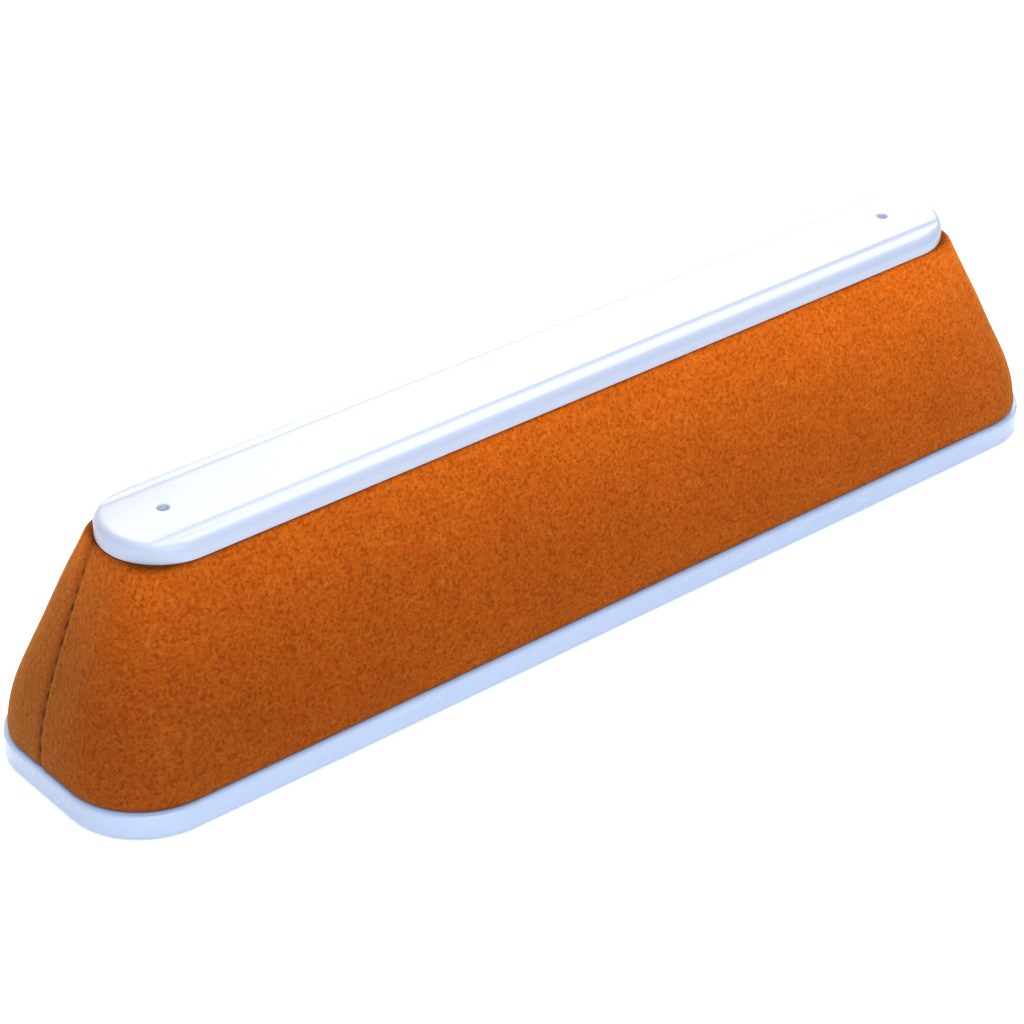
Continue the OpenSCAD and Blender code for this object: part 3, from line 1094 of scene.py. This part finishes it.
@dataclass
class FoamPadding:
    """Four foam pieces, one cut to fill each side between the core and the cloth."""

    shape: BodyShape
    core: WoodCore
    slack: float = 0.05 * MM
    blunt: float = 0.012
    levels: int = 9
    points: int = 80

    def piece(self, along: bool) -> Array:
        """Rings of one foam piece, on the front for a long piece and on the left for an end piece.

        Each ring runs along the lining's outline, between the two places where the planes of
        the core's long faces cross its corners, and back along the core's face.

        Args:
            along: True for a long piece and False for an end piece.

        Returns:
            Points in rows, one ring per height.
        """
        share = np.linspace(0.0, 1.0, self.levels)
        rise = self.core.cloth + share * (self.shape.height - 2 * self.core.cloth)
        half, radius = self.shape.sizes(rise, self.core.cloth + self.slack)
        core = self.core.half(share)
        cross = np.arcsin((core[:, 1] - half[:, 1] + radius) / radius) / (math.pi / 2)
        start, stop = (5 + cross, 8 - cross) if along else (4 - cross, 5 + cross)
        step = np.linspace(self.blunt, 1 - self.blunt, self.points)[None, :]
        stations = start[:, None] + (stop - start)[:, None] * step
        outer = rounded_rings(stations, half, radius, self.shape.bottom + rise)
        inner = outer.copy()
        if along:
            inner[..., 1] = -core[:, 1:]
        else:
            inner[..., 0] = -core[:, :1]
        return np.concatenate([outer, inner[:, ::-1]], axis=1)

    def build(self, finish: Material) -> None:
        """Makes the front and left pieces and mirrors them to the back and the right.

        Args:
            finish: the piece's material.
        """
        for node, along, mirror in (
            (Node.FOAM_FRONT, True, (1, 1)),
            (Node.FOAM_BACK, True, (1, -1)),
            (Node.FOAM_LEFT, False, (1, 1)),
            (Node.FOAM_RIGHT, False, (-1, 1)),
        ):
            rings = self.piece(along) * np.array([*mirror, 1.0])
            if -1 in mirror:
                rings = rings[:, ::-1]
            made = new_object(node.value + "_cut", rings, stack_faces(rings), crease=30)
            settle(made, Slot.FOAM, finish, node)


@dataclass
class Seam:
    """Sewn seam that slants up the cloth's left end."""

    foot_y: float = 2 * MM
    top_y: float = 5.4 * MM
    bow: float = 1.5 * MM
    valley: float = 0.4 * MM
    valley_w: float = 1.2 * MM
    ridge: float = 0.3 * MM
    ridge_off: float = 2.1 * MM
    ridge_w: float = 1.1 * MM
    dimple: float = 0.12 * MM
    reach: float = 12 * MM
    stitches: int = 11
    start: float = 0.08
    run: float = 0.84
    stitch_run: float = 0.05
    thread_r: float = 0.28 * MM

    def place(self, share: Array) -> Array:
        """Y of the seam at shares of the height: a straight run, bowed by a half sine."""
        return self.foot_y + share * (self.top_y - self.foot_y) + self.bow * np.sin(math.pi * share)

    def offset(self, points: Array, share: Array) -> Array:
        """Signed distance of points from the seam along Y, positive towards the front.

        Args:
            points: points in rows.
            share: share of the body's height of each row.

        Returns:
            One number per point, very large on the right half of the eraser.
        """
        away = self.place(share)[:, None] - points[..., 1]
        return np.where(points[..., 0] < 0, away, 1.0)

    def relief(self, away: Array, share: Array) -> Array:
        """Height of the cloth above its plain surface near the seam.

        A narrow bell-shaped valley, deeper where the thread dives in, lies between a high
        bell-shaped ridge in front of it and a low one behind it.

        Args:
            away: signed distance from the seam.
            share: share of the body's height of each row.

        Returns:
            One height per point.
        """
        phase = (share[:, None] - self.start) / self.run * self.stitches
        dive = np.cos(math.pi * (phase % 1.0 - 0.3)) ** 8
        cut = self.valley + self.dimple * dive
        valley = cut * np.exp(-((away / self.valley_w) ** 2))
        front = self.ridge * np.exp(-(((away - self.ridge_off) / self.ridge_w) ** 2))
        back = 0.5 * self.ridge * np.exp(-(((away + self.ridge_off) / self.ridge_w) ** 2))
        return (front + back) * (0.8 + 0.2 * dive) - valley

    def line(self, cloth: Array, share: Array) -> Array:
        """Where the seam runs on the cloth's plain surface.

        Args:
            cloth: the surface's points, in rows.
            share: share of the body's height of each row.

        Returns:
            One point per row.
        """
        end = (cloth[0, :, 0] < 0) & (np.abs(cloth[0, :, 1]) < self.reach)
        strip = cloth[:, end][:, ::-1]
        rows = [[np.interp(y, row[:, 1], row[:, axis]) for axis in range(3)]
                for y, row in zip(self.place(share), strip)]
        return np.array(rows)

    def stitch(self, line: Array, share: Array, finish: Material) -> Object:
        """Makes the row of stitches: each a round thread that climbs out of the cloth,
        lies in the valley and dives in again.

        The thread's lift along a stitch is the root of a half sine between a sunk and a
        raised level, and rings of a circle follow it.

        Args:
            line: the seam's run on the plain surface, one point per row.
            share: share of the body's height of each row.
            finish: the thread's material.

        Returns:
            The stitches as one piece.
        """
        first = self.start + self.run * np.arange(self.stitches)[:, None] / self.stitches
        along = np.linspace(0.0, 1.0, 11)[None, :]
        at = first - 0.3 * self.stitch_run + along * 1.6 * self.stitch_run
        run = np.stack([np.interp(at, share, line[:, axis]) for axis in range(3)], axis=-1)
        up = line[-1] - line[0]
        up /= np.linalg.norm(up)
        out = np.cross(up, np.array([0.0, 1.0, 0.0]))
        out /= np.linalg.norm(out)
        lift = np.sqrt(np.clip(np.sin(math.pi * along), 0, 1))
        sunk, raised = -self.valley - 1.2 * MM, -self.valley
        middle = run + (sunk + (raised - sunk) * lift)[..., None] * out
        turn = np.linspace(0, 2 * math.pi, 8, endpoint=False)
        side = np.cross(out, up)
        circle = self.thread_r * (np.cos(turn)[:, None] * side + np.sin(turn)[:, None] * out)
        tubes = middle[:, :, None, :] + circle
        count, rows, columns = tubes.shape[:3]
        one = grid_quads(rows, columns, False, True)[:, ::-1]
        shift = (np.arange(count) * rows * columns)[:, None, None]
        ends = np.stack([np.arange(columns), np.arange(rows * columns)[-columns:][::-1]])
        made = new_object("seam_stitches", tubes, [(one + shift).reshape(-1, 4),
                                                   (ends + shift).reshape(-1, columns)])
        return settle(made, Slot.THREAD, finish, Node.THREAD)


@dataclass
class ClothCover:
    """Sewn cloth band, stretched over the foam and turned in above and below."""

    shape: BodyShape
    seam: Seam
    core: WoodCore
    thickness: float = 1.2 * MM
    lap_corner_r: float = 2 * MM
    pressure: float = 4.0
    sim_frames: int = 20
    move_cap: float = 1.5 * MM
    start_inset: float = 0.5 * MM
    waviness: float = 0.10 * MM
    # How fast the painted shade at the foot and the top fades.
    crease_shade_h: float = 0.5 * MM
    # Painted light: the cloth's lightness at the foot, its growth with a power of the height, and its growth
    # along X.
    painted_light_foot: float = 0.80
    painted_light_rise: float = 0.69
    painted_light_power: float = 2.2
    painted_light_along: float = 0.12
    painted_light_along_rise: float = 0.25
    # Painted sheen on the ends: where it starts, how far it grows, its strongest share and its softness
    # behind the front corners.
    painted_sheen_start: float = 100 * MM
    painted_sheen_run: float = 35 * MM
    painted_sheen_most: float = 0.065
    painted_sheen_soft: float = 16 * MM

    def coarse_stations(self) -> Array:
        """Stations of the points that the simulation moves."""
        return even_stations([5, 10, 84, 10, 10, 10, 84, 10, 5])

    def coarse_rise(self) -> Array:
        """Heights of the points that the simulation moves."""
        return np.linspace(0.0, self.shape.height, 21)

    def simulate(self) -> Array:
        """Blows the tight band outwards with Blender's cloth and measures how far it moves.

        The top and the foot are pinned, as the plates clamp them. The movement is capped
        softly: the cap times tanh of the movement over the cap.

        Returns:
            Movement of each coarse point, in rows and columns.
        """
        start = self.shape.rings(self.coarse_stations(), self.coarse_rise(), 0.0)
        rows, columns = start.shape[:2]
        band = new_object("cloth_trial", start, [grid_quads(rows, columns, False, True)])
        pins = band.vertex_groups.new(name="pinned")
        pins.add([int(k) for k in range(columns)], 1.0, "REPLACE")
        pins.add([int(k) for k in range((rows - 1) * columns, rows * columns)], 1.0, "REPLACE")
        cloth = band.modifiers.new("cloth", "CLOTH")
        settings = cloth.settings
        settings.quality = 6
        settings.mass = 0.3
        settings.tension_stiffness = 25.0
        settings.compression_stiffness = 25.0
        settings.shear_stiffness = 10.0
        settings.bending_stiffness = 1.0
        settings.use_pressure = True
        settings.uniform_pressure_force = self.pressure
        settings.vertex_group_mass = pins.name
        settings.effector_weights.gravity = 0.0
        cloth.point_cache.frame_end = self.sim_frames
        scene = bpy.context.scene
        for step in range(1, self.sim_frames + 1):
            scene.frame_set(step)
        settled = band.evaluated_get(bpy.context.evaluated_depsgraph_get()).data
        moved = np.empty(rows * columns * 3, dtype=np.float32)
        settled.vertices.foreach_get("co", moved)
        bpy.data.objects.remove(band)
        scene.frame_set(1)
        movement = moved.reshape(start.shape).astype(float) - start
        far = np.linalg.norm(movement, axis=-1, keepdims=True)
        log.info("cloth moved %.2f mm at most before the cap", far.max() / MM)
        return movement * np.tanh(far / self.move_cap) * self.move_cap / np.maximum(far, TINY)

    @staticmethod
    def spline_weights(places: Array) -> tuple[Array, Array]:
        """Weights of a uniform cubic B-spline.

        Args:
            places: places counted in coarse points.

        Returns:
            The number of the first of four coarse points, and their four weights.
        """
        first = np.floor(places).astype(int) - 1
        f = places - np.floor(places)
        weights = [(1 - f) ** 3, 3 * f**3 - 6 * f**2 + 4, -3 * f**3 + 3 * f**2 + 3 * f + 1, f**3]
        return first, np.stack(weights, axis=-1) / 6

    def swell(self, movement: Array, stations: Array, rise: Array) -> Array:
        """Carries the coarse movement to any points by cubic B-splines both ways.

        Args:
            movement: movement of the coarse points.
            stations: stations of the wanted columns.
            rise: heights of the wanted rows.

        Returns:
            Movement of each wanted point.
        """
        coarse = self.coarse_stations()
        count = len(coarse)
        round_once = np.concatenate([[coarse[-1] - 9], coarse, [coarse[0] + 9]])
        column, column_weight = self.spline_weights(
            np.interp(stations, round_once, np.arange(-1, count + 1)))
        row, row_weight = self.spline_weights(
            np.interp(rise, self.coarse_rise(), np.arange(len(self.coarse_rise()))))
        rows = np.clip(row[:, None] + np.arange(4), 0, len(movement) - 1)
        columns = (column[:, None] + np.arange(4)) % count
        tall = np.einsum("rk,rkcx->rcx", row_weight, movement[rows])
        return np.einsum("ck,rckx->rcx", column_weight, tall[:, columns])

    def waves(self, points: Array) -> Array:
        """Slight unevenness of the padding: a sum of slanting sines of unrelated lengths.

        Args:
            points: points in rows and columns.

        Returns:
            One height per point.
        """
        generator = np.random.default_rng(SEED)
        total = np.zeros(points.shape[:2])
        for length in (61 * MM, 43 * MM, 29 * MM, 19 * MM, 13 * MM):
            direction = generator.normal(size=3)
            direction /= np.linalg.norm(direction)
            phase = generator.uniform(0, 2 * math.pi)
            total += np.sin(points @ direction * 2 * math.pi / length + phase)
        return self.waviness * total / 2

    def rises(self) -> Array:
        """Heights of the outer surface's rows, close together in the rolls at both ends.

        Returns:
            Heights above the body's foot.
        """
        foot = self.shape.foot_roll_r * (1 - np.cos(np.linspace(0, math.pi / 2, 7)))
        top = self.shape.top_roll_r * (1 - np.sin(np.linspace(0, math.pi / 2, 7)))
        straight = np.linspace(foot[-1], self.shape.height - top[0], 62)[1:-1]
        return np.concatenate([foot, straight, self.shape.height - top])

    def build(self, finish: Material, thread: Material) -> Object:
        """Makes the closed band: outer surface, upper lap, lining and lower lap.

        Args:
            finish: the cloth's material.
            thread: the stitches' material.

        Returns:
            The cloth.
        """
        stations = even_stations([10, 34, 256, 34, 60, 34, 256, 34, 10])
        rise = self.rises()
        share = rise / self.shape.height
        outer = self.shape.rings(stations, rise, 0.0)
        crown = np.sin(math.pi * np.clip(share, 0, 1))[:, None, None]
        _, facing = outline_frame(stations)
        outer += self.swell(self.simulate(), stations, rise)
        outer[..., :2] -= self.start_inset * crown * facing[None]
        self.seam.stitch(self.seam.line(outer, share), share, thread)
        away = self.seam.offset(outer, share)
        relief = self.seam.relief(away, share) + self.waves(outer)
        held = smooth_step(share / 0.06) * smooth_step((1 - share) / 0.04)
        outer += (relief * held[:, None])[..., None] * self.outward(outer)
        lining_rise = np.linspace(self.thickness, self.shape.height - self.thickness, 13)[::-1]
        lining = self.shape.rings(stations, lining_rise, self.thickness)
        land = self.lap_rings(stations)
        grid = np.concatenate([outer, land[:2], lining, land[2:]])
        rows, columns = grid.shape[:2]
        piece = new_object("cloth_band", grid, [grid_quads(rows, columns, True, True)], crease=60)
        # Mask of painted light, lighter towards the top and the right.
        store_mask(piece, "painted_light", self.painted_light(grid))
        # Mask of painted shade in the seam and along the plates.
        store_mask(piece, "crease", self.painted_crease_shade(grid, away))
        # Mask of painted sheen on the ends.
        store_mask(piece, "painted_sheen", self.painted_sheen(grid))
        settle(piece, Slot.CLOTH, finish, Node.CLOTH)
        return piece

    def lap_rings(self, stations: Array) -> Array:
        """Edges of the turned-in laps, two rings above the core and two below it.

        Args:
            stations: places round the outline.

        Returns:
            Four rings of points.
        """
        top = self.core.top_half - self.core.top_lap
        foot = self.core.foot_half - self.core.foot_lap
        high, low = self.shape.bottom + self.shape.height, self.shape.bottom
        half = np.stack([top, top, foot, foot])
        height = np.array([high, high - self.thickness, low + self.thickness, low])
        return rounded_rings(stations, half, np.full(4, self.lap_corner_r), height)

    def share_up(self, points: Array) -> Array:
        """Share of the body's height at which points lie, from 0 to 1."""
        return np.clip((points[..., 2] - self.shape.bottom) / self.shape.height, 0.0, 1.0)

    def painted_light(self, points: Array) -> Array:
        """Painted light on the cloth, from 0 to 1: it grows with the height and towards the right, standing
        in for how light falls on the cloth.

        The gradient is fitted and not derived. It is the foot's tone, plus the rise's part
        times a power of the height, plus an even and a growing part times the place along X.

        Args:
            points: points of the whole cloth.

        Returns:
            One number per point.
        """
        share = self.share_up(points)
        along = points[..., 0] / self.shape.foot_half[0]
        lighter = (self.painted_light_foot + self.painted_light_rise * share**self.painted_light_power
                   + (self.painted_light_along + self.painted_light_along_rise * share) * along)
        low, high = BrushedCloth.painted_light_low, BrushedCloth.painted_light_high
        return np.clip((lighter - low) / (high - low), 0.0, 1.0)

    def painted_sheen(self, points: Array) -> Array:
        """Share of a painted pale tan sheen: thin on both ends, stronger near the foot and behind the front
        corners. It is fitted, and stands in for the sheen of the nap seen at a glancing angle.

        Args:
            points: points of the whole cloth.

        Returns:
            One number per point.
        """
        ends = smooth_step((np.abs(points[..., 0]) - self.painted_sheen_start) / self.painted_sheen_run)
        behind = smooth_step(0.75 + points[..., 1] / self.painted_sheen_soft)
        return self.painted_sheen_most * ends * (1 - 0.5 * self.share_up(points)) * (0.15 + 0.85 * behind)

    def painted_crease_shade(self, points: Array, away: Array) -> Array:
        """Painted shade, from 0 to 1: in the seam's valley, and along the foot and the top where the plates
        press on the cloth.

        Args:
            points: points of the whole cloth, with the outer surface's rows first.
            away: signed distance of the outer surface's points from the seam.

        Returns:
            One number per point.
        """
        above = points[..., 2] - self.shape.bottom
        below = self.shape.height - above
        # Painted shade fading from the foot and from the top, and in the seam's valley.
        dark = 0.8 * np.exp(-above / self.crease_shade_h) + 0.8 * np.exp(-below / self.crease_shade_h)
        dark[:len(away)] += 0.4 * np.exp(-((away / self.seam.valley_w) ** 2))
        return np.clip(dark, 0.0, 0.9)

    @staticmethod
    def outward(points: Array) -> Array:
        """Unit normals of a grid that wraps round: the cross product of its two directions.

        Args:
            points: points in rows and columns.

        Returns:
            One unit vector per point.
        """
        around = np.roll(points, -1, axis=1) - np.roll(points, 1, axis=1)
        upward = np.gradient(points, axis=0)
        normal = np.cross(around, upward)
        return normal / np.maximum(np.linalg.norm(normal, axis=-1, keepdims=True), 1e-12)


# ---- nodes that keep their CAD shape ----


@dataclass(frozen=True)
class Hardware:
    """The core, the fasteners and the adhesive film, which only need their finishes."""

    steel: Colour = (0.56, 0.56, 0.57)
    zinc: Colour = (0.66, 0.68, 0.70)

    def dress(self) -> None:
        """Puts each finish on its nodes."""
        wire = WornSteel("staple_wire", self.zinc, 0.28, (1.0, 0.1, 1.0)).material()
        for node, finish in (
            (Node.CORE, SoftWood().material()),
            (Node.GRIP_PINS, WornSteel("pin_steel", self.steel, 0.34).material()),
            (Node.TOP_STAPLES, wire),
            (Node.BOTTOM_STAPLES, wire),
            (Node.SCREWS, WornSteel("zinc_screw", self.zinc, 0.3, (1.0, 1.0, 0.2)).material()),
            (Node.ADHESIVE, AdhesiveFilm().material()),
        ):
            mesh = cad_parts[node.value].data
            mesh.materials.clear()
            mesh.materials.append(finish)
            log.info("%s: dressed in %s", node.value, finish.name)


# ---- floor, light and camera ----


@dataclass(frozen=True)
class Softbox:
    """Large square area light, hung in a direction from the eraser and aimed at it."""

    name: str
    azimuth: float
    elevation: float
    power: float
    colour: Colour
    size: float = 1.2
    distance: float = 1.8

    def build(self) -> None:
        """Hangs the light, with its azimuth counted counter-clockwise from +X."""
        a, e = math.radians(self.azimuth), math.radians(self.elevation)
        toward = Vector((math.cos(a) * math.cos(e), math.sin(a) * math.cos(e), math.sin(e)))
        lamp = bpy.data.lights.new(self.name, "AREA")
        lamp.shape = "SQUARE"
        lamp.size = self.size
        lamp.energy = self.power
        lamp.color = self.colour
        holder = bpy.data.objects.new(self.name, lamp)
        holder.location = self.distance * toward
        holder.rotation_euler = (-toward).to_track_quat("-Z", "Y").to_euler()
        bpy.context.scene.collection.objects.link(holder)


@dataclass
class Studio:
    """Plain pale floor, soft light from all round and the camera."""

    azimuth: float = -39.508
    elevation: float = 31.609
    roll: float = -0.325
    distance: float = 766.03 * MM
    aim: Colour = (-3.19 * MM, 11.89 * MM, 12.32 * MM)
    focal_length: float = 106.59
    sensor: float = 36.0

    def build(self) -> None:
        """Builds the floor, the sky, the softboxes and the camera."""
        self.floor()
        self.sky()
        warm, cool = (1.0, 0.97, 0.92), (0.62, 0.80, 1.0)
        for box in (
            Softbox("high_back", 60.0, 60.0, 24.0, warm),
            Softbox("low_back", 45.0, 28.0, 18.0, warm),
            Softbox("high_front", 240.0, 60.0, 32.0, cool),
            Softbox("low_left_front", 225.0, 28.0, 9.5, cool),
            Softbox("low_front", 270.0, 28.0, 5.0, cool),
        ):
            box.build()
        self.camera()

    def floor(self) -> None:
        """Wide, nearly white floor a hair below the felt, faintly lit like a light table."""
        half, low = 4.0, -0.05 * MM
        reach = np.array([[-half, -half, low], [half, -half, low], [half, half, low], [-half, half, low]])
        plane = new_object("floor", reach, [np.array([[0, 1, 2, 3]])])
        recipe = Recipe("pale_floor")
        plane.data.materials.append(recipe.finish(
            (0.95, 0.95, 0.95), 0.85, Emission_Color=(1.0, 0.98, 0.95, 1.0), Emission_Strength=0.25))

    def sky(self) -> None:
        """Even, slightly cool light from all round."""
        world = bpy.data.worlds.new("studio_air")
        world.use_nodes = True
        world.node_tree.nodes["Background"].inputs["Color"].default_value = (0.92, 0.96, 1.0, 1.0)
        world.node_tree.nodes["Background"].inputs["Strength"].default_value = 0.06
        bpy.context.scene.world = world
        bpy.context.scene.view_settings.view_transform = "Standard"

    def camera(self) -> None:
        """Camera that looks at the aim from an azimuth and an elevation, with a slight roll."""
        a, e = math.radians(self.azimuth), math.radians(self.elevation)
        back = Vector((math.sin(a) * math.cos(e), -math.cos(a) * math.cos(e), math.sin(e)))
        right = Vector((math.cos(a), math.sin(a), 0.0))
        up = back.cross(right)
        turn = math.radians(self.roll)
        right, up = (math.cos(turn) * right + math.sin(turn) * up,
                     math.cos(turn) * up - math.sin(turn) * right)
        place = Matrix((right, up, back)).transposed().to_4x4()
        place.translation = Vector(self.aim) + self.distance * back
        lens = bpy.data.cameras.new("camera")
        lens.lens = self.focal_length
        lens.sensor_width = self.sensor
        holder = bpy.data.objects.new("camera", lens)
        holder.matrix_world = place
        bpy.context.scene.collection.objects.link(holder)
        bpy.context.scene.camera = holder


def corners(box: tuple[Sequence[float], Sequence[float]]) -> list[list[float]]:
    """A box's two corners as plain lists of numbers."""
    return [[float(number) for number in corner] for corner in box]


def main() -> None:
    """Builds every piece in order, dresses the carried-over nodes and sets up the studio."""
    logging.basicConfig(level=logging.INFO, format="%(name)s: %(message)s")
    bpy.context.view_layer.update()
    shape, core = BodyShape(), WoodCore()
    GripPlate().build(MouldedPlastic("grip_plastic", (0.515, 0.50, 0.56), 0.32).material())
    BasePlate().build(MouldedPlastic("base_plastic", (0.51, 0.53, 0.63), 0.24).material())
    FeltPad().build(PressedFelt().material())
    FoamPadding(shape, core).build(OpenFoam().material())
    ClothCover(shape, Seam(), core).build(BrushedCloth().material(), TwistedThread().material())
    Hardware().dress()
    Studio().build()


if __name__ == "__main__":
    main()
